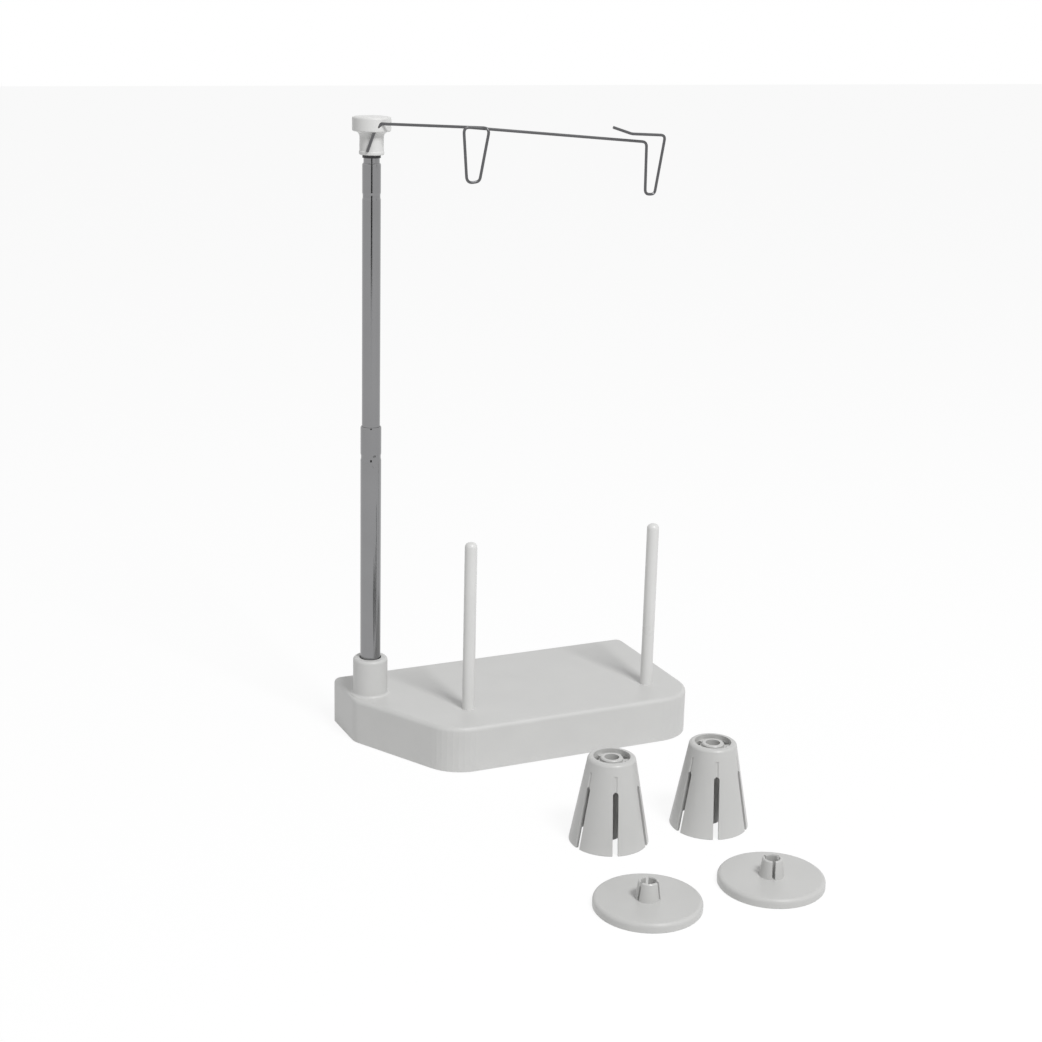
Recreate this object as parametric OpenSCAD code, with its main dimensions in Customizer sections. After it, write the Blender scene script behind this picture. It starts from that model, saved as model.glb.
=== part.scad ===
// Cone thread stand: a hollow moulded base with two spool pins and a telescopic mast,
// whose bent wire arm holds a thread guide loop above each pin. Two slotted cone
// holders and two spool caps lie loose in front of it.
// Lengths are millimetres, +Z is up. Inside the modules the mast axis meets the
// table at [0, 0], X runs along the back edge to the right, Y runs to the back.

/* [Base] */
// Length of the base along its back edge
base_len = 197; // [185:1:215]
// Depth of the base from front edge to back edge
base_dep = 105; // [100:1:115]
// Height of the top face above the table
base_h = 27.5; // [26:0.5:32]
// Distance from the mast axis to the left end of the base
mast_in_left = 13; // [12.5:0.5:15]
// Distance from the mast axis to the back edge of the base
mast_in_back = 31.5; // [28:0.5:34]
// How far the slanted left end cuts into the front edge
slant_x = 35.3; // [30:0.1:38]
// How far the slanted left end cuts into the left edge
slant_y = 66.2; // [60:0.1:70]
// Wall of the moulded shell
wall = 2.5; // [2:0.1:3]
// Radius of the soft rim round the top face
rim_r = 2.5; // [1.5:0.1:3]

/* [Mast] */
// Outer diameter of the lower tube
lower_od = 12; // [11.8:0.1:12.4]
// Outer diameter of the middle tube
middle_od = 10.4; // [10.2:0.1:10.5]
// Outer diameter of the top tube
top_od = 9; // [8.8:0.1:9.1]
// Sheet thickness of the three tubes
tube_wall = 0.4; // [0.35:0.05:0.45]
// Height of the top end of the lower tube
lower_top = 190.5; // [185:0.5:195]
// Height of the top end of the middle tube, drawn right out
middle_top = 339.2; // [330:0.5:342]
// Top of the socket that holds the mast
socket_top = 50; // [46:0.5:54]
// Outer diameter of the socket
socket_od = 20.4; // [19.5:0.1:21]

/* [Guide arm] */
// Height of the flat top of the guide head
head_top = 364.3; // [363:0.1:366]
// Diameter of the guide head's drum
head_od = 21.5; // [20.5:0.5:22]
// Thickness of the guide wire
wire_d = 1.6; // [1.4:0.1:1.8]

/* [Spool pins] */
// Diameter of the spool pins
pin_d = 7.2; // [6.8:0.1:7.4]
// Height of the pin tips above the table
pin_top = 129; // [120:1:140]
// Place of the left pin along the base
pin_left_x = 44.4; // [42:0.2:48]
// Place of the right pin along the base
pin_right_x = 161.4; // [156:0.2:164]
// Distance of both pins in front of the mast axis
pin_y = 45.8; // [42:0.2:50]

/* [Loose holders] */
// Height of a cone holder
cone_h = 48; // [44:0.5:52]
// Outer diameter of a cone holder at its foot
cone_foot_d = 42.6; // [40:0.2:44]
// Outer diameter of a cone holder at its top
cone_top_d = 25.2; // [24:0.2:27]
// Width of the slots in a cone holder's skirt
slot_w = 3; // [2:0.1:3.5]
// Number of slots, which is also the number of windows in its top
slot_n = 6; // [4:1:8]
// Diameter of a spool cap
cap_d = 55; // [52:1:58]
// Thickness of a spool cap at its edge
cap_h = 5; // [4:0.5:6]
// Height of the split collar on a spool cap
collar_h = 9.5; // [8:0.5:12]

/* [Hidden] */
$fn = 64;
eps = 0.01;

// the box of the whole set is centred on the origin, so the mast stands off it
x_left = -mast_in_left;
x_right = base_len - mast_in_left;
y_back = mast_in_back;
y_front = mast_in_back - base_dep;
cap_left_at = [52, -254.3];
cap_right_at = [122.4, -256];
cone_left_at = [68.7, -179.6];
cone_right_at = [128.5, -182.2];
cap_r = cap_d / 2;
row_shift = [-(x_left + x_right) / 2, -(y_back + cap_right_at[1] - cap_r) / 2, 0];
module placed() {
    translate(row_shift) children();
}

// Corners of the base seen from above, anticlockwise: x, y and corner radius
base_corners = [
    [x_left, y_back, 5],
    [x_left, y_front + slant_y, 14],
    [x_left + slant_x, y_front, 25],
    [x_right, y_front, 24],
    [x_right, y_back, 5]
];
// Points on each rounded corner
corner_steps = 8;

function unit(v) = v / norm(v);
function at(list, i) = list[(i + len(list)) % len(list)];
function flat2(v) = [v[0], v[1]];
// arc points of one corner, with the outline drawn in by inset
function corner_arc(i, inset) =
    let (
        p = flat2(at(base_corners, i)),
        d1 = unit(p - flat2(at(base_corners, i - 1))),
        d2 = unit(flat2(at(base_corners, i + 1)) - p),
        turn = acos(d1 * d2),
        r = base_corners[i][2],
        start = p - d1 * r * tan(turn / 2),
        n1 = [-d1[1], d1[0]],
        centre = start + n1 * r,
        a0 = atan2(-n1[1], -n1[0])
    )
    [for (k = [0 : corner_steps])
        centre + (r - inset) * [cos(a0 + turn * k / corner_steps), sin(a0 + turn * k / corner_steps)]];
function base_outline(inset) =
    [for (i = [0 : len(base_corners) - 1]) each corner_arc(i, inset)];
function ring_at(outline, z) = [for (p = outline) [p[0], p[1], z]];

// closed solid through a stack of rings with the same number of points
module loft(rings) {
    n = len(rings[0]);
    m = len(rings);
    faces = concat(
        [[for (k = [0 : n - 1]) k]],
        [[for (k = [n - 1 : -1 : 0]) (m - 1) * n + k]],
        [for (j = [0 : m - 2], k = [0 : n - 1])
            [j * n + k, (j + 1) * n + k, (j + 1) * n + (k + 1) % n]],
        [for (j = [0 : m - 2], k = [0 : n - 1])
            [j * n + k, (j + 1) * n + (k + 1) % n, j * n + (k + 1) % n]]
    );
    polyhedron([for (r = rings) each r], faces, convexity = 8);
}

// Levels and places inside the base
wall_foot = 0.5;
cover_z = 1;
cover_t = 2.4;
cover_top = cover_z + cover_t;
cover_gap = 0.3;
roof_t = 2.8;
roof_z = base_h - roof_t;
boss_r = 3.5;
pilot_r = 1.25;
boss_at = [[-6, 24.5], [90, 24], [175.5, 23.5], [165, -55], [100, -66], [38, -64]];
foot_at = [[-3, 14], [172, 14], [152, -61], [46, -59]];
foot_r = 6;
foot_h = 2.2;
foot_recess = 1.2;
pin_at = [[pin_left_x, -pin_y + 1], [pin_right_x, -pin_y - 0.9]];
pin_boss_r = 6;
spigot_r = 2.5;
pin_floor = 8;
pin_seat = 10.5;
mast_floor = 8;
mast_seat = 11;
mast_boss_r = 8.6;
bore_r = lower_od / 2 + 0.05;
mouth_r = lower_od / 2 + 0.5;
mouth_z = socket_top - 8;
plate_size = [86, 74, 5];
plate_low = [60, -56, 8];
plate_screw_at = [[70, -48], [136, -48], [103, 10]];

// Screw with its head's bearing face at z = 0, shank upwards
module pan_screw(shank_r, shank_len, head_r, head_h) {
    difference() {
        union() {
            cylinder(r = shank_r, h = shank_len - shank_r);
            translate([0, 0, shank_len - shank_r])
                cylinder(r1 = shank_r, r2 = shank_r * 0.3, h = shank_r);
            translate([0, 0, -head_h + 0.4]) cylinder(r = head_r, h = head_h - 0.4);
            translate([0, 0, -head_h]) cylinder(r1 = head_r - 0.5, r2 = head_r, h = 0.4 + eps);
        }
        for (a = [0, 90])
            rotate([0, 0, a])
                translate([-head_r * 0.55, -0.3, -head_h - eps])
                    cube([head_r * 1.1, 0.6, head_h * 0.5]);
    }
}

module ring_washer(r_out, r_in, h) {
    difference() {
        cylinder(r = r_out, h = h);
        translate([0, 0, -eps]) cylinder(r = r_in, h = h + 2 * eps);
    }
}

// Outer skin of the base: straight walls and a quarter-round rim
module base_skin() {
    rim_steps = 5;
    loft(concat(
        [ring_at(base_outline(0), wall_foot)],
        [for (k = [0 : rim_steps])
            let (a = 90 * k / rim_steps)
            ring_at(base_outline(rim_r * (1 - cos(a))), base_h - rim_r + rim_r * sin(a))]
    ));
}

// Socket for the mast, standing on the top face
module socket_tower() {
    edge = 1.8;
    root = 1.5;
    r = socket_od / 2;
    rotate_extrude() {
        translate([0, base_h - 1]) square([r, socket_top - edge - base_h + 1]);
        translate([0, socket_top - edge - eps]) square([r - edge, edge + eps]);
        translate([r - edge, socket_top - edge]) circle(r = edge);
        difference() {
            translate([r - eps, base_h - eps]) square([root, root]);
            translate([r + root, base_h + root]) circle(r = root);
        }
    }
}

module base_shell() {
    color("whitesmoke")
    difference() {
        union() {
            difference() {
                base_skin();
                translate([0, 0, -1])
                    linear_extrude(roof_z + 1) polygon(base_outline(wall));
            }
            socket_tower();
            translate([0, 0, mast_floor]) cylinder(r = mast_boss_r, h = roof_z - mast_floor + eps);
            for (c = boss_at)
                translate([c[0], c[1], cover_top]) cylinder(r = boss_r, h = roof_z - cover_top + eps);
            for (c = pin_at)
                translate([c[0], c[1], pin_floor])
                    cylinder(r = pin_boss_r, h = roof_z - pin_floor + eps);
            for (c = plate_screw_at)
                translate([c[0], c[1], plate_low[2] + plate_size[2]])
                    cylinder(r = boss_r, h = roof_z - plate_low[2] - plate_size[2] + eps);
            // webs that stiffen the top face
            translate([mast_boss_r - 1, -0.8, 16]) cube([170, 1.6, roof_z - 16 + eps]);
            translate([pin_left_x - 0.8, -38, 16]) cube([1.6, 68, roof_z - 16 + eps]);
            translate([pin_right_x - 0.8, -40, 16]) cube([1.6, 70, roof_z - 16 + eps]);
        }
        // mast bore, with a wider mouth and a screw hole through its floor
        translate([0, 0, mast_seat]) cylinder(r = bore_r, h = socket_top);
        translate([0, 0, mouth_z]) cylinder(r = mouth_r, h = socket_top);
        translate([0, 0, mast_floor - 1]) cylinder(r = 2.2, h = 6);
        for (c = pin_at) {
            translate([c[0], c[1], pin_seat]) cylinder(r = spigot_r + 0.05, h = base_h);
            translate([c[0], c[1], pin_floor - 1]) cylinder(r = 1.7, h = 6);
        }
        for (c = boss_at)
            translate([c[0], c[1], cover_top - 1]) cylinder(r = pilot_r, h = 13);
        for (c = plate_screw_at)
            translate([c[0], c[1], plate_low[2] + plate_size[2] - 1]) cylinder(r = pilot_r, h = 10);
    }
}

module bottom_cover() {
    color("gainsboro")
    difference() {
        translate([0, 0, cover_z])
            linear_extrude(cover_t) polygon(base_outline(wall + cover_gap));
        for (c = boss_at) {
            translate([c[0], c[1], cover_z - 1]) cylinder(r = 1.6, h = cover_t + 2);
            translate([c[0], c[1], cover_z - 1]) cylinder(r = 3, h = 1 + foot_recess);
        }
        for (c = foot_at)
            translate([c[0], c[1], cover_z - 1]) cylinder(r = foot_r + 0.1, h = 1 + foot_recess);
    }
}

module rubber_feet() {
    color("dimgray")
    for (c = foot_at)
        translate([c[0], c[1], 0]) {
            cylinder(r1 = foot_r - 0.5, r2 = foot_r, h = 0.5);
            translate([0, 0, 0.5]) cylinder(r = foot_r, h = foot_h - 0.5);
        }
}

module cover_screws() {
    color("silver")
    for (c = boss_at)
        translate([c[0], c[1], cover_z + foot_recess]) pan_screw(1.2, 11, 2.7, 1.1);
}

module ballast_plate() {
    color("darkgray")
    difference() {
        translate(plate_low) cube(plate_size);
        for (c = plate_screw_at)
            translate([c[0], c[1], plate_low[2] - 1]) cylinder(r = 1.6, h = plate_size[2] + 2);
    }
}

module ballast_screws() {
    color("silver")
    for (c = plate_screw_at)
        translate([c[0], c[1], plate_low[2]]) pan_screw(1.2, 12, 2.8, 2);
}

// Moulded rod that stands on the top face, held by a spigot and a screw from below
module spool_pin(c) {
    tip = 2.8;
    r = pin_d / 2;
    color("whitesmoke")
    translate([c[0], c[1], 0])
    difference() {
        union() {
            translate([0, 0, pin_seat]) cylinder(r = spigot_r, h = base_h - pin_seat + eps);
            rotate_extrude() {
                translate([0, base_h]) square([r, pin_top - tip - base_h]);
                translate([0, pin_top - tip - eps]) square([r - tip, tip + eps]);
                intersection() {
                    translate([r - tip, pin_top - tip]) circle(r = tip);
                    translate([0, pin_top - tip - eps]) square([r, tip + eps]);
                }
            }
        }
        translate([0, 0, pin_seat - 1]) cylinder(r = 1.5, h = 12);
    }
}
module spool_pin_left() { spool_pin(pin_at[0]); }
module spool_pin_right() { spool_pin(pin_at[1]); }

module pin_screws() {
    color("silver")
    for (c = pin_at)
        translate([c[0], c[1], pin_floor - 0.6]) pan_screw(1.45, 13, 2.8, 2);
}

module pin_washers() {
    color("silver")
    for (c = pin_at)
        translate([c[0], c[1], pin_floor - 0.6]) ring_washer(3.6, 1.6, 0.6);
}

// Mast: three tubes, each with a rolled groove under its crimped top end that
// traps a guide bush and stops the foot sleeve of the tube inside it
groove_drop = 18;
groove_d = 0.27;
crimp_h = 0.9;
lower_foot = mast_seat;
middle_foot = 155;
top_foot = 176;
sleeve_h = 14.5;
bush_h = 14;
bush_wall_gap = 0.02;
run_gap = 0.05;

module rolled_tube(od, foot, top, groove_z, mouth) {
    r = od / 2;
    ri = r - tube_wall;
    rotate_extrude()
        polygon([
            [ri, foot], [r, foot],
            [r, groove_z - 2], [r - groove_d, groove_z - 0.7],
            [r - groove_d, groove_z + 0.7], [r, groove_z + 2],
            [r, top - crimp_h], [r - 0.15, top - 0.3], [r - 0.4, top], [mouth, top],
            [mouth, top - 0.4], [ri, top - crimp_h],
            [ri, groove_z + 2.2], [ri - groove_d, groove_z + 0.9],
            [ri - groove_d, groove_z - 0.9], [ri, groove_z - 2.2]
        ]);
}

lower_groove = lower_top - groove_drop;
middle_groove = middle_top - groove_drop;
lower_in = lower_od / 2 - tube_wall;
middle_r = middle_od / 2;
middle_in = middle_r - tube_wall;
top_r = top_od / 2;

module mast_lower_tube() {
    color("silver")
    difference() {
        rolled_tube(lower_od, lower_foot, lower_top, lower_groove, middle_r + 0.1);
        // punch marks under the groove
        for (a = [-99, 21, 141])
            rotate([0, 0, a]) translate([lower_od / 2 + 1, 0, lower_groove - 4.8]) sphere(r = 1.2);
    }
}

module mast_foot_plug() {
    color("gray")
    translate([0, 0, lower_foot])
    difference() {
        cylinder(r = lower_in - bush_wall_gap, h = 13);
        translate([0, 0, -1]) cylinder(r = 2.05, h = 11);
    }
}

module mast_screw() {
    color("silver")
    translate([0, 0, mast_floor - 0.8]) pan_screw(2, 12, 3.7, 2.4);
}

module mast_washer() {
    color("silver")
    translate([0, 0, mast_floor - 0.8]) ring_washer(5, 2.15, 0.8);
}

module guide_bush(r_out, r_in, z) {
    translate([0, 0, z]) ring_washer(r_out, r_in, bush_h);
}

module lower_bush() {
    color("dimgray")
    guide_bush(lower_in - bush_wall_gap, middle_r + run_gap, lower_groove + 2.4);
}

module upper_bush() {
    color("dimgray")
    guide_bush(middle_in - bush_wall_gap, top_r + run_gap, middle_groove + 2.4);
}

module mast_middle_tube() {
    color("silver")
    rolled_tube(middle_od, middle_foot, middle_top, middle_groove, top_r + 0.1);
}

// Split sleeve that springs against the tube outside it
module foot_sleeve(r_out, r_in, z) {
    translate([0, 0, z])
    difference() {
        ring_washer(r_out, r_in, sleeve_h);
        translate([0, -0.6, -1]) cube([r_out + 1, 1.2, sleeve_h + 2]);
    }
}

module middle_foot_sleeve() {
    color("goldenrod")
    foot_sleeve(lower_in - run_gap, middle_r, middle_foot);
}

module mast_top_tube() {
    color("silver")
    difference() {
        translate([0, 0, top_foot]) cylinder(r = top_r, h = head_seat - top_foot);
        translate([0, 0, top_foot - 1])
            cylinder(r = top_r - tube_wall, h = head_seat - top_foot + 2);
    }
}

module top_foot_sleeve() {
    color("goldenrod")
    foot_sleeve(middle_in - run_gap, top_r, top_foot);
}

// Guide head: a drum on a slimmer neck, with a channel for the wire's hooked end
neck_foot = head_top - 20.5;
neck_r = 6.7;
drum_foot = head_top - 7.8;
flare_foot = drum_foot - 3.2;
head_seat = neck_foot + 9;
collar_foot = neck_foot - 1.7;

module head_collar() {
    color("dimgray")
    translate([0, 0, collar_foot]) ring_washer(5.1, top_r, neck_foot - collar_foot - 0.3);
}

module head_profile() {
    drum_r = head_od / 2;
    difference() {
        union() {
            translate([0, neck_foot]) square([neck_r, head_top - neck_foot - 1]);
            translate([0, neck_foot + 0.7]) square([neck_r + 0.3, 0.8]);
            translate([neck_r - 0.4, neck_foot + 0.7]) circle(r = 0.7);
            translate([neck_r - 0.4, neck_foot + 1.5]) circle(r = 0.7);
            // flare between neck and drum
            difference() {
                translate([neck_r - eps, flare_foot]) square([3.2, 3.2 + eps]);
                translate([neck_r + 3.2, flare_foot]) circle(r = 3.2);
            }
            translate([0, drum_foot + 0.8]) square([drum_r, head_top - drum_foot - 1.8]);
            translate([0, drum_foot]) square([drum_r - 0.8, 7.8]);
            translate([drum_r - 0.8, drum_foot + 0.8]) circle(r = 0.8);
            translate([drum_r - 1, head_top - 1]) circle(r = 1);
        }
        translate([0, neck_foot - 1]) square([top_r + run_gap, head_seat + 0.4 - neck_foot + 1]);
        translate([-20, neck_foot - 1]) square([20, 40]);
    }
}

// Route of the guide wire: x, y, z and the radius of the bend at that corner
wire_y = -45;
wire_route = [
    [-4.6, -5.6, 346, 0],
    [-1.9, -9.2, 356.5, 3],
    [1.4, -10.4, 361.2, 2.5],
    [50.2, wire_y - 1.2, 361.4, 3],
    [45.2, wire_y - 0.4, 333, 3],
    [38.2, wire_y + 0.6, 332, 3.5],
    [36, wire_y + 1, 361.9, 3],
    [146.8, wire_y, 352.6, 3],
    [147.2, wire_y, 323.6, 2.8],
    [153.2, wire_y, 323.4, 2.6],
    [158.2, wire_y - 0.6, 356.2, 2.6],
    [136.5, wire_y - 1.6, 357.3, 10],
    [124.5, wire_y - 2, 361, 0]
];
bend_steps = 6;
wire_sides = 10;

// points of one bend: a smooth curve between its two tangent points
function bend(a, p, b, r) =
    let (
        d1 = unit(p - a),
        d2 = unit(b - p),
        turn = acos(max(-1, min(1, d1 * d2))),
        reach = r * tan(turn / 2),
        s = p - d1 * reach,
        e = p + d2 * reach
    )
    [for (k = [0 : bend_steps])
        let (t = k / bend_steps)
        (1 - t) * (1 - t) * s + 2 * t * (1 - t) * p + t * t * e];
function spot(i) = [wire_route[i][0], wire_route[i][1], wire_route[i][2]];
wire_line = [
    spot(0),
    for (i = [1 : len(wire_route) - 2]) each bend(spot(i - 1), spot(i), spot(i + 1), wire_route[i][3]),
    spot(len(wire_route) - 1)
];

// round bar along a line of points, with rings square to the line
module swept_bar(line, r, sides) {
    m = len(line);
    function along(i) =
        unit(line[min(i + 1, m - 1)] - line[max(i - 1, 0)]);
    function ring(i) =
        let (
            t = along(i),
            u = unit(cross([0, 1, 0], t)),
            v = cross(t, u)
        )
        [for (k = [0 : sides - 1])
            line[i] + r * (cos(360 * k / sides) * u + sin(360 * k / sides) * v)];
    loft([for (i = [0 : m - 1]) ring(i)]);
}

module guide_head() {
    color("whitesmoke")
    difference() {
        rotate_extrude() head_profile();
        // open channel for the wire: round its first two bends and out past the rim
        swept_bar([for (i = [0 : 2 * bend_steps + 3]) wire_line[i]], wire_d / 2 + 0.15, 12);
    }
}

module guide_wire() {
    color("dimgray")
    swept_bar(wire_line, wire_d / 2, wire_sides);
}

// Slotted cone holder with a recessed, windowed top and a hub for the spool pin
module cone_holder(c, turn) {
    rb = cone_foot_d / 2;
    rt = cone_top_d / 2;
    skin = 1.8;
    edge = 2;
    hub_r = 6;
    hub_bore_r = pin_d / 2 + 0.3;
    recess = 2.6;
    top_skin = 1.8;
    ring_r = rt - 2.8;
    slot_top = cone_h * 0.7;
    slope = atan((rb - rt) / cone_h);
    function r_at(z) = rb + (rt - rb) * z / cone_h;
    under = cone_h - recess - top_skin;
    color("gainsboro")
    translate([c[0], c[1], 0]) rotate([0, 0, turn])
    difference() {
        rotate_extrude()
            polygon(concat(
                [[rb - 0.4, 0], [rb, 0.5], [r_at(cone_h - edge), cone_h - edge]],
                [for (a = [15 : 15 : 90])
                    [r_at(cone_h - edge) - edge * (1 - cos(a)), cone_h - edge + edge * sin(a)]],
                [[ring_r, cone_h], [ring_r, cone_h - recess], [hub_r, cone_h - recess],
                 [hub_r, cone_h - 1.1], [hub_r - 0.5, cone_h - 0.6],
                 [hub_bore_r, cone_h - 0.6], [hub_bore_r, 2], [hub_r - 0.6, 2],
                 [hub_r, under], [r_at(under) - skin, under], [rb - skin, 0]]
            ));
        for (k = [0 : slot_n - 1])
            rotate([0, 0, 360 * k / slot_n]) {
                // slot in the skirt, round at its top
                translate([8, -slot_w / 2, -1]) cube([20, slot_w, slot_top - slot_w / 2 + 1]);
                translate([8, 0, slot_top - slot_w / 2])
                    rotate([0, 90, 0]) cylinder(d = slot_w, h = 20);
                // shallow groove that runs on above the slot
                translate([r_at(slot_top + 3) + 0.35, 0, slot_top + 3])
                    rotate([0, -slope, 0]) cylinder(r = 0.9, h = 11, center = true);
                // window in the top
                rotate([0, 0, -19]) rotate_extrude(angle = 38)
                    translate([hub_r + 0.9, under - 1])
                        square([ring_r - hub_r - 1.1, top_skin + 2]);
            }
    }
}
module cone_holder_left() { cone_holder(cone_left_at, -107.5); }
module cone_holder_right() { cone_holder(cone_right_at, -109.5); }

// Spool cap: a shallow disc with a split collar that grips a pin
module spool_cap(c, turn) {
    edge = 2;
    skin = 1.8;
    collar_r = 6.4;
    collar_top_r = 5.1;
    collar_bore_r = pin_d / 2 + 0.1;
    color("whitesmoke")
    translate([c[0], c[1], 0]) rotate([0, 0, turn])
    difference() {
        rotate_extrude()
            polygon(concat(
                [[cap_r - 0.4, 0], [cap_r, 0.5], [cap_r, cap_h - edge]],
                [for (a = [15 : 15 : 90])
                    [cap_r - edge * (1 - cos(a)), cap_h - edge + edge * sin(a)]],
                [[collar_r, cap_h], [collar_top_r, cap_h + collar_h - 0.4],
                 [collar_top_r - 0.4, cap_h + collar_h], [collar_bore_r + 0.3, cap_h + collar_h],
                 [collar_bore_r, cap_h + collar_h - 0.6], [collar_bore_r, 0.8],
                 [collar_r - 0.8, 0.8], [collar_r - 0.8, cap_h - skin],
                 [cap_r - skin, cap_h - skin], [cap_r - skin, 0]]
            ));
        for (k = [0 : 2])
            rotate([0, 0, 120 * k])
                translate([2, -0.8, cap_h + 0.2]) cube([6, 1.6, collar_h + 1]);
    }
}
module spool_cap_left() { spool_cap(cap_left_at, -50); }
module spool_cap_right() { spool_cap(cap_right_at, -112); }

placed() base_shell();
placed() bottom_cover();
placed() rubber_feet();
placed() cover_screws();
placed() ballast_plate();
placed() ballast_screws();
placed() spool_pin_left();
placed() spool_pin_right();
placed() pin_screws();
placed() pin_washers();
placed() mast_lower_tube();
placed() mast_foot_plug();
placed() mast_screw();
placed() mast_washer();
placed() lower_bush();
placed() mast_middle_tube();
placed() middle_foot_sleeve();
placed() upper_bush();
placed() mast_top_tube();
placed() top_foot_sleeve();
placed() head_collar();
placed() guide_head();
placed() guide_wire();
placed() cone_holder_left();
placed() cone_holder_right();
placed() spool_cap_left();
placed() spool_cap_right();
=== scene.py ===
import math

import bpy
from mathutils import Matrix, Vector


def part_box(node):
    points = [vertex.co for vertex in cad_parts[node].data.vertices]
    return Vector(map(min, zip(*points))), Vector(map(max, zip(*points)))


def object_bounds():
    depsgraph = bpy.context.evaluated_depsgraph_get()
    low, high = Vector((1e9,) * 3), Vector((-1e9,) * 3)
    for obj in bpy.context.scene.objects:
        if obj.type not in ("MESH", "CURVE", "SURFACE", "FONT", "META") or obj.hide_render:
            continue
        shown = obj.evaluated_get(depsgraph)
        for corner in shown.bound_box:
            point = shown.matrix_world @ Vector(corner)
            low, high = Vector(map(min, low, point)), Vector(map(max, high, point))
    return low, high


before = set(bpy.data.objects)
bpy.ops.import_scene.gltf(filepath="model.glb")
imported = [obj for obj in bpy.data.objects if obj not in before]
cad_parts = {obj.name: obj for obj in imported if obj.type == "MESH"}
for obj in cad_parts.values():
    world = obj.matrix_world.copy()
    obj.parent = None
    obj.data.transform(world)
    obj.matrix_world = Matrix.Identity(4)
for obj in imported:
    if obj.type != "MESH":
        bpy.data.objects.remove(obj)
cad_low, cad_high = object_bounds()

# The room: a pale table top in front of a white surround, so the set stands before
# plain white and keeps its shadow on the table.
scene = bpy.context.scene
scene.view_settings.view_transform = "Standard"


def background_share(tree):
    """1 for rays that see the background: from the camera, in metal or through glass."""
    path = tree.nodes.new("ShaderNodeLightPath")
    share = path.outputs["Is Camera Ray"]
    for kind in ("Is Glossy Ray", "Is Transmission Ray"):
        either = tree.nodes.new("ShaderNodeMath")
        either.operation = "MAXIMUM"
        tree.links.new(share, either.inputs[0])
        tree.links.new(path.outputs[kind], either.inputs[1])
        share = either.outputs[0]
    return share


def mix_by(tree, share, unseen, seen, output):
    """Joins two shaders by that share and sends the mix to the output."""
    mix = tree.nodes.new("ShaderNodeMixShader")
    for source, entry in zip((share, unseen.outputs[0], seen.outputs[0]), mix.inputs):
        tree.links.new(source, entry)
    tree.links.new(mix.outputs[0], output.inputs[0])


world = bpy.data.worlds.new("studio_surround")
scene.world = world
world.use_nodes = True
sky = world.node_tree
sky.nodes.clear()
fill_level = 0.42
white_level = 1.0
fill = sky.nodes.new("ShaderNodeBackground")
white = sky.nodes.new("ShaderNodeBackground")
for background, level in ((fill, fill_level), (white, white_level)):
    background.inputs["Color"].default_value = (1, 1, 1, 1)
    background.inputs["Strength"].default_value = level
mix_by(sky, background_share(sky), fill, white, sky.nodes.new("ShaderNodeOutputWorld"))

table_half = 6.0
table_mesh = bpy.data.meshes.new("table_top")
table_mesh.from_pydata(
    [(-table_half, -table_half, 0), (table_half, -table_half, 0),
     (table_half, table_half, 0), (-table_half, table_half, 0)],
    [], [(0, 1, 2, 3)])
table_top = bpy.data.objects.new("table_top", table_mesh)
scene.collection.objects.link(table_top)
table_colour = (0.86, 0.86, 0.86, 1)
table_glow_level = 1.04
table_glow_share = 0.86
table_finish = bpy.data.materials.new("pale_table")
table_finish.use_nodes = True
table_tree = table_finish.node_tree
table_tree.nodes.clear()
table_diffuse = table_tree.nodes.new("ShaderNodeBsdfDiffuse")
table_diffuse.inputs["Color"].default_value = table_colour
table_glow = table_tree.nodes.new("ShaderNodeEmission")
table_glow.inputs["Strength"].default_value = table_glow_level
table_share = table_tree.nodes.new("ShaderNodeMath")
table_share.operation = "MULTIPLY"
table_share.inputs[1].default_value = table_glow_share
table_tree.links.new(background_share(table_tree), table_share.inputs[0])
mix_by(table_tree, table_share.outputs[0], table_diffuse, table_glow,
       table_tree.nodes.new("ShaderNodeOutputMaterial"))
table_mesh.materials.append(table_finish)

# The camera: a lens of 65 mm, about a metre off, looking down on the set from the
# left of its front, and tipped slightly to one side as in the photograph.
lens_mm = 65.31
sensor_mm = 36
camera_data = bpy.data.cameras.new("studio_camera")
camera_data.lens = lens_mm
camera_data.sensor_width = sensor_mm
camera = bpy.data.objects.new("studio_camera", camera_data)
scene.collection.objects.link(camera)
scene.camera = camera
camera_place = Vector((-0.4524, -0.8650, 0.4451))
look_turn = math.radians(25.055)
look_down = math.radians(16.35)
look_tip = 0.02591
forward = Vector((math.sin(look_turn) * math.cos(look_down),
                  math.cos(look_turn) * math.cos(look_down), -math.sin(look_down)))
level_right = Vector((math.cos(look_turn), -math.sin(look_turn), 0))
level_up = level_right.cross(forward)
right = math.cos(look_tip) * level_right + math.sin(look_tip) * level_up
up = -math.sin(look_tip) * level_right + math.cos(look_tip) * level_up
turned = Matrix((right, up, -forward)).transposed()
camera.matrix_world = Matrix.Translation(camera_place) @ turned.to_4x4()

# The lamp: one soft key, above the set and a little right of its front. The white
# surround fills the shadows.
key_turn = math.radians(9)
key_height = math.radians(52)
key_reach = 2.0
key_power = 25.0
key_width = 0.5
key_data = bpy.data.lights.new("key_lamp", "AREA")
key_data.energy = key_power
key_data.size = key_width
key_lamp = bpy.data.objects.new("key_lamp", key_data)
scene.collection.objects.link(key_lamp)
key_way = Vector((math.sin(key_turn) * math.cos(key_height),
                  -math.cos(key_turn) * math.cos(key_height), math.sin(key_height)))
set_middle = (cad_low + cad_high) / 2
key_lamp.location = set_middle + key_way * key_reach
key_lamp.rotation_mode = "QUATERNION"
key_lamp.rotation_quaternion = (-key_way).to_track_quat("-Z", "Y")

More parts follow.
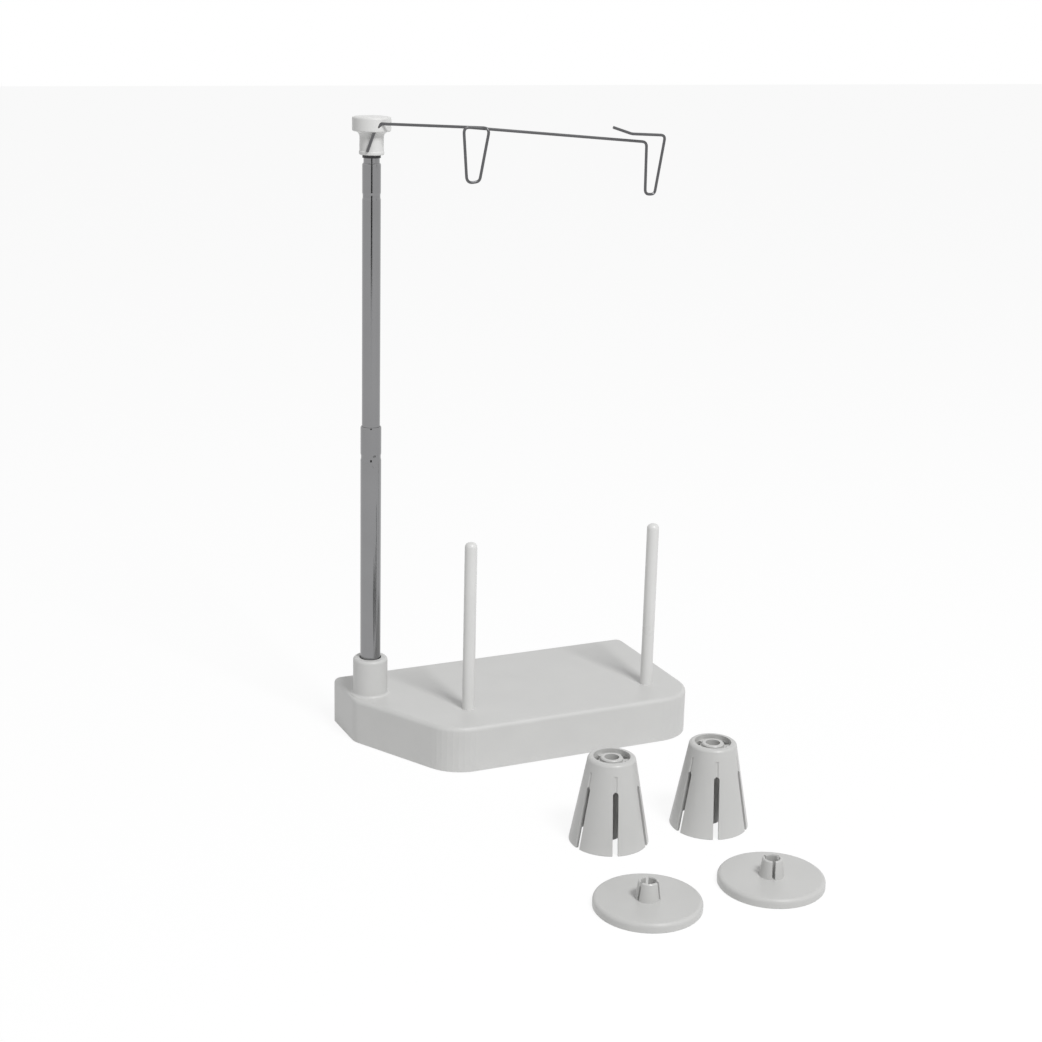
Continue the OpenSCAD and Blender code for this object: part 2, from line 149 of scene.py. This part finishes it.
# A black card behind the camera, which shows only in polished metal. It darkens the
# side of the mast and of the guide wire that faces the camera.
card_width = 0.42
card_height = 1.6
card_reach = 1.35
card_foot = 0.05
card_turn = math.radians(18)
card_mesh = bpy.data.meshes.new("dark_card")
card_mesh.from_pydata(
    [(-card_width / 2, 0, 0), (card_width / 2, 0, 0),
     (card_width / 2, 0, card_height), (-card_width / 2, 0, card_height)],
    [], [(0, 1, 2, 3)])
dark_card = bpy.data.objects.new("dark_card", card_mesh)
scene.collection.objects.link(dark_card)
mast_low, mast_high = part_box("mast_lower_tube")
mast_axis = (mast_low + mast_high) / 2
dark_card.location = Vector((mast_axis.x - math.sin(card_turn) * card_reach,
                             mast_axis.y - math.cos(card_turn) * card_reach, card_foot))
dark_card.rotation_euler = (0, 0, -card_turn)
card_finish = bpy.data.materials.new("black_card")
card_finish.use_nodes = True
card_shader = card_finish.node_tree.nodes["Principled BSDF"]
card_shader.inputs["Base Color"].default_value = (0.01, 0.01, 0.01, 1)
card_shader.inputs["Roughness"].default_value = 0.9
card_mesh.materials.append(card_finish)
dark_card.visible_camera = False
dark_card.visible_diffuse = False
dark_card.visible_shadow = False
dark_card.visible_transmission = False


# The base: a hollow moulding in off-white plastic with a softly rounded rim and the
# socket for the mast in one piece with it. A screwed cover closes it underneath.
def textured_finish(name, colour, darker, lighter, cloud_scale, dullest):
    """A finish whose colour and roughness drift over the surface, and its parts."""
    material = bpy.data.materials.new(name)
    material.use_nodes = True
    tree = material.node_tree
    shader = tree.nodes["Principled BSDF"]
    place = tree.nodes.new("ShaderNodeTexCoord")
    cloud = tree.nodes.new("ShaderNodeTexNoise")
    cloud.inputs["Scale"].default_value = cloud_scale
    tint = tree.nodes.new("ShaderNodeValToRGB")
    for stop, factor in zip(tint.color_ramp.elements, (darker, lighter)):
        stop.color = [min(1, c * factor) for c in colour] + [1]
    dull = tree.nodes.new("ShaderNodeMapRange")
    dull.inputs["To Min"].default_value, dull.inputs["To Max"].default_value = dullest
    tree.links.new(place.outputs["Object"], cloud.inputs["Vector"])
    tree.links.new(cloud.outputs["Fac"], tint.inputs["Fac"])
    tree.links.new(tint.outputs["Color"], shader.inputs["Base Color"])
    tree.links.new(cloud.outputs["Fac"], dull.inputs["Value"])
    tree.links.new(dull.outputs["Result"], shader.inputs["Roughness"])
    return material, tree, shader, place.outputs["Object"], cloud, tint


def add_relief(tree, shader, place, pitch, depth, strength):
    """Fine relief whose marks lie one pitch apart, and its noise."""
    marks = tree.nodes.new("ShaderNodeTexNoise")
    marks.inputs["Scale"].default_value = 1 / pitch
    relief = tree.nodes.new("ShaderNodeBump")
    relief.inputs["Strength"].default_value = strength
    relief.inputs["Distance"].default_value = depth
    tree.links.new(place, marks.inputs["Vector"])
    tree.links.new(marks.outputs["Fac"], relief.inputs["Height"])
    tree.links.new(relief.outputs["Normal"], shader.inputs["Normal"])
    return marks


def moulded_plastic(name, colour, roughness, grain_size, grain_depth, mottle=0.03):
    """Plastic as it leaves the mould: faint mottling, and a fine even grain."""
    mottle_scale = 35
    roughness_drift = 0.06
    grain_strength = 0.35
    material, tree, shader, place, cloud, tint = textured_finish(
        name, colour, 1 - mottle, 1 + mottle / 2, mottle_scale,
        (roughness - roughness_drift, roughness + roughness_drift))
    shader.inputs["IOR"].default_value = 1.49
    cloud.inputs["Detail"].default_value = 3
    tint.color_ramp.elements[0].position = 0.3
    tint.color_ramp.elements[1].position = 0.7
    grain = add_relief(tree, shader, place, grain_size, grain_depth, grain_strength)
    grain.inputs["Detail"].default_value = 2
    return material


def finish_node(node, material):
    """Gives a solid from the frame its finish."""
    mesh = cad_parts[node].data
    mesh.materials.clear()
    mesh.materials.append(material)


base_finish = moulded_plastic("base_satin_white", (0.66, 0.66, 0.65), 0.42, 0.0009, 0.00004)
finish_node("base_shell", base_finish)
cover_finish = moulded_plastic("cover_satin_grey", (0.55, 0.55, 0.54), 0.5, 0.0012, 0.00006)
finish_node("bottom_cover", cover_finish)

# The feet: four black rubber pads glued in recesses of the cover.
rubber_finish = moulded_plastic("black_rubber", (0.02, 0.02, 0.02), 0.75, 0.0006, 0.0001, 0.2)
finish_node("rubber_feet", rubber_finish)


# Screws and washers: small zinc-plated steel, turned from below into the bosses.
def drawn_metal(name, colour, roughness, line_pitch, line_depth, stretch):
    """Metal with fine marks drawn out along its length, and slight dull patches."""
    patch_scale = 60
    line_strength = 0.25
    material, tree, shader, place, patch, tint = textured_finish(
        name, colour, 0.93, 1.04, patch_scale, (roughness * 0.75, roughness * 1.25))
    shader.inputs["Metallic"].default_value = 1.0
    draw_out = tree.nodes.new("ShaderNodeMapping")
    draw_out.inputs["Scale"].default_value = (1, 1, stretch)
    tree.links.new(place, draw_out.inputs["Vector"])
    add_relief(tree, shader, draw_out.outputs["Vector"], line_pitch, line_depth, line_strength)
    return material


zinc_finish = drawn_metal("zinc_steel", (0.55, 0.55, 0.56), 0.35, 0.0006, 0.00003, 1.0)
for node in ("cover_screws", "ballast_screws", "pin_screws", "pin_washers",
             "mast_screw", "mast_washer"):
    finish_node(node, zinc_finish)

# The ballast: a sawn iron plate, screwed up under the top face so the stand
# does not tip when the thread is pulled.
iron_finish = drawn_metal("sawn_iron", (0.2, 0.19, 0.18), 0.6, 0.0009, 0.0001, 1.0)
finish_node("ballast_plate", iron_finish)

# The spool pins: smooth round rods of white plastic with softly rounded tips.
pin_finish = moulded_plastic("pin_gloss_white", (0.77, 0.77, 0.76), 0.3, 0.0015, 0.00002)
finish_node("spool_pin_left", pin_finish)
finish_node("spool_pin_right", pin_finish)

# The mast: three thin tubes, bright plated, that slide in each other. Each has a
# rolled groove and a crimped mouth at its top.
plate_finish = drawn_metal("bright_plate", (0.27, 0.27, 0.275), 0.12, 0.0005, 0.000004, 0.02)
for node in ("mast_lower_tube", "mast_middle_tube", "mast_top_tube"):
    finish_node(node, plate_finish)

# Inside the mast: dark plastic bushes and a foot plug, and brass sleeves that
# spring against the tube outside them.
bush_finish = moulded_plastic("dark_nylon", (0.03, 0.03, 0.032), 0.5, 0.0008, 0.00004, 0.1)
for node in ("mast_foot_plug", "lower_bush", "upper_bush", "head_collar"):
    finish_node(node, bush_finish)
brass_finish = drawn_metal("plain_brass", (0.6, 0.42, 0.16), 0.35, 0.0005, 0.00003, 0.1)
finish_node("middle_foot_sleeve", brass_finish)
finish_node("top_foot_sleeve", brass_finish)

# The guide head: a white moulded cap that turns on the top tube and grips the
# hooked end of the wire in a channel.
head_finish = moulded_plastic("head_satin_white", (0.74, 0.74, 0.73), 0.38, 0.0012, 0.00003)
finish_node("guide_head", head_finish)

# The guide wire: one length of spring steel, bent cold into a loop over each pin.
wire_finish = drawn_metal("spring_wire", (0.13, 0.13, 0.135), 0.3, 0.0004, 0.00001, 1.0)
finish_node("guide_wire", wire_finish)

# The cone holders and spool caps: glossy white mouldings, lying loose on the table.
holder_finish = moulded_plastic("holder_gloss_white", (0.60, 0.60, 0.59), 0.34, 0.0014, 0.00002)
for node in ("cone_holder_left", "cone_holder_right", "spool_cap_left", "spool_cap_right"):
    finish_node(node, holder_finish)

bpy.context.view_layer.update()
